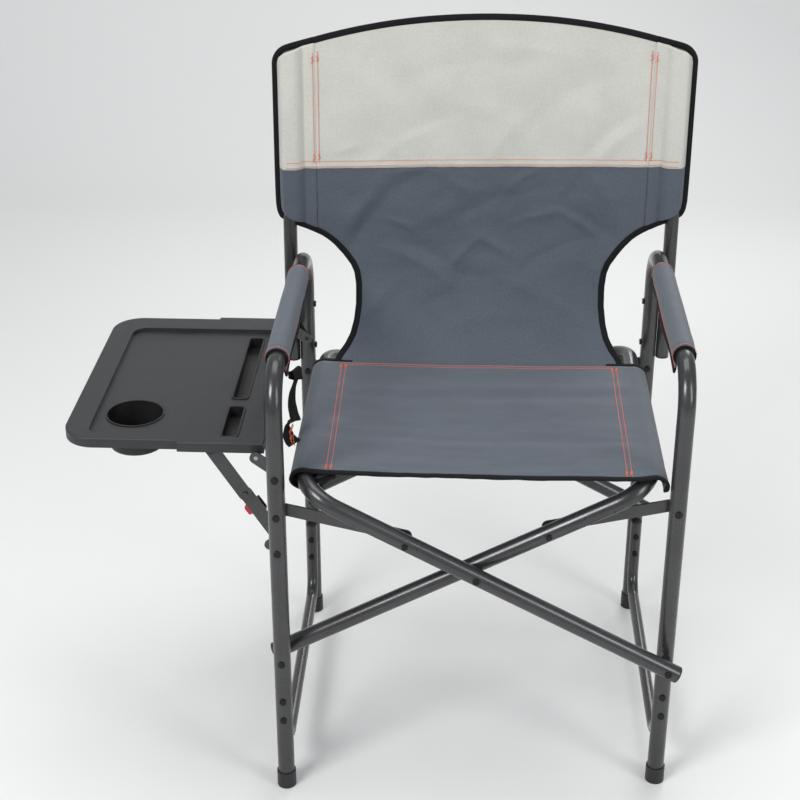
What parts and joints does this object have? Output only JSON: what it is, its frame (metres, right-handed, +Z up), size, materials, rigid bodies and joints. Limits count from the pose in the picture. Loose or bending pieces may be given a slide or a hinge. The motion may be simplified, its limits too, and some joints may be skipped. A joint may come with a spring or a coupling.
{
  "type": "folding director chair",
  "caption": "Folding camping director chair: bent tube side frames, scissor cross frames, cloth seat and back, and a drop-leaf side table with cup well.",
  "frame": {"origin": "on the floor, under the middle of the whole object's box with the table up", "axes": "+Z up, the sitter faces -Y, and the side table is on the -X side"},
  "size_m": [0.924, 0.5688, 1.076],
  "materials": {
    "grey_powder_coat": "glossy dark gunmetal powder coat",
    "black_cap_plastic": "moulded black plastic",
    "black_fastener": "black oxide",
    "tray_plastic": "fine-grained moulded plastic, satin",
    "well_plastic": "black moulded plastic",
    "slate_cloth": "woven polyester, matt",
    "putty_cloth": "woven polyester, matt",
    "sleeve_cloth": "padded woven polyester",
    "black_webbing": "ribbed webbing",
    "red_plastic": "moulded red plastic",
    "steel_rod": "plain steel"
  },
  "bodies": {
    "left_frame": {"left_side_frame": "grey_powder_coat", "left_front_foot": "black_cap_plastic", "left_rear_foot": "black_cap_plastic", "left_stretcher": "grey_powder_coat", "left_frame_plugs": "black_cap_plastic", "left_frame_bolts": "black_fastener", "left_frame_spacers": "black_cap_plastic", "left_back_post": "grey_powder_coat", "left_post_rivets": "black_fastener", "left_arm_sleeve": "sleeve_cloth", "left_back_pocket": "putty_cloth", "back_head_panel": "putty_cloth", "back_lower_panel": "slate_cloth", "side_strap": "black_webbing", "table_front_bracket": "grey_powder_coat", "table_rear_bracket": "grey_powder_coat", "table_hinge_rod": "steel_rod", "table_screws": "black_fastener", "brace_mount": "grey_powder_coat"},
    "cross_b": {"cross_b_tube": "grey_powder_coat", "cross_b_end_plugs": "black_cap_plastic", "cross_b_link_rivets": "black_fastener", "seat_sleeve_right": "slate_cloth"},
    "cross_a": {"cross_a_tube": "grey_powder_coat", "cross_a_end_plugs": "black_cap_plastic", "cross_a_link_rivets": "black_fastener", "middle_pivot_bolts": "black_fastener", "middle_pivot_spacers": "black_cap_plastic", "seat_sleeve_left": "slate_cloth", "seat_sling": "slate_cloth"},
    "right_frame": {"right_side_frame": "grey_powder_coat", "right_front_foot": "black_cap_plastic", "right_rear_foot": "black_cap_plastic", "right_stretcher": "grey_powder_coat", "right_frame_plugs": "black_cap_plastic", "right_frame_bolts": "black_fastener", "right_frame_spacers": "black_cap_plastic", "right_back_post": "grey_powder_coat", "right_post_rivets": "black_fastener", "right_arm_sleeve": "sleeve_cloth", "right_back_pocket": "putty_cloth"},
    "left_links": {"left_front_link": "grey_powder_coat", "left_rear_link": "grey_powder_coat", "left_link_rivets": "black_fastener"},
    "right_links": {"right_front_link": "grey_powder_coat", "right_rear_link": "grey_powder_coat", "right_link_rivets": "black_fastener"},
    "table": {"table_tray": "tray_plastic", "table_cup_well": "well_plastic", "table_long_slot": "well_plastic", "table_short_slot": "well_plastic", "table_knuckles": "tray_plastic", "table_brace_lugs": "tray_plastic"},
    "brace_lower": {"brace_lower_bar": "grey_powder_coat", "brace_latch_housing": "black_cap_plastic"},
    "brace_upper": {"brace_upper_bar": "grey_powder_coat"},
    "latch_button": {"brace_release_button": "red_plastic"}
  },
  "joints": [
    {"name": "fold", "type": "hinge", "parent": "left_frame", "child": "cross_b", "pos_m": [-0.1505, 0.0088, 0.232], "axis": [0, -1, 0], "range_deg": [0, 52.56], "deforming": ["seat_sling", "seat_sleeve_left", "seat_sleeve_right", "left_arm_sleeve", "right_arm_sleeve", "back_head_panel", "back_lower_panel", "left_back_pocket", "right_back_pocket", "side_strap"]},
    {"name": "fold_middle", "type": "hinge", "parent": "cross_b", "child": "cross_a", "pos_m": [0.135, -0.0266, 0.386], "axis": [0, -1, 0], "range_deg": [-105.17, 0]},
    {"name": "fold_right_foot", "type": "hinge", "parent": "cross_a", "child": "right_frame", "pos_m": [0.4205, -0.0266, 0.232], "axis": [0, -1, 0], "range_deg": [0, 52.61]},
    {"name": "left_link_swing", "type": "hinge", "parent": "left_frame", "child": "left_links", "pos_m": [-0.1505, -0.0266, 0.4835], "axis": [0, -1, 0], "range_deg": [0, 92.91]},
    {"name": "right_link_swing", "type": "hinge", "parent": "right_frame", "child": "right_links", "pos_m": [0.4205, 0.0088, 0.4835], "axis": [0, -1, 0], "range_deg": [-92.91, 0]},
    {"name": "table_fold", "type": "hinge", "parent": "left_frame", "child": "table", "pos_m": [-0.179, -0.0266, 0.566], "axis": [0, -1, 0], "range_deg": [0, 90]},
    {"name": "brace_lower_swing", "type": "hinge", "parent": "left_frame", "child": "brace_lower", "pos_m": [-0.164, -0.2146, 0.424], "axis": [0, -1, 0], "range_deg": [-99.54, 0]},
    {"name": "brace_upper_swing", "type": "hinge", "parent": "table", "child": "brace_upper", "pos_m": [-0.24826, -0.2166, 0.55884], "axis": [0, -1, 0], "range_deg": [-63.33, 0]},
    {"name": "latch_press", "type": "slide", "parent": "brace_lower", "child": "latch_button", "axis": [0.848, 0, 0.5299], "range_m": [0, 0.004], "stiffness_N_per_m": 500, "springref_m": -0.002}
  ],
  "couplings": [
    {"joint": "fold_middle", "follows": "fold", "ratio": -2},
    {"joint": "fold_right_foot", "follows": "fold", "ratio": 1},
    {"joint": "left_link_swing", "follows": "fold", "ratio": 1.7667},
    {"joint": "right_link_swing", "follows": "fold", "ratio": -1.7667},
    {"joint": "brace_lower_swing", "follows": "table_fold", "ratio": -1.1054},
    {"joint": "brace_upper_swing", "follows": "table_fold", "ratio": -0.70313}
  ]
}
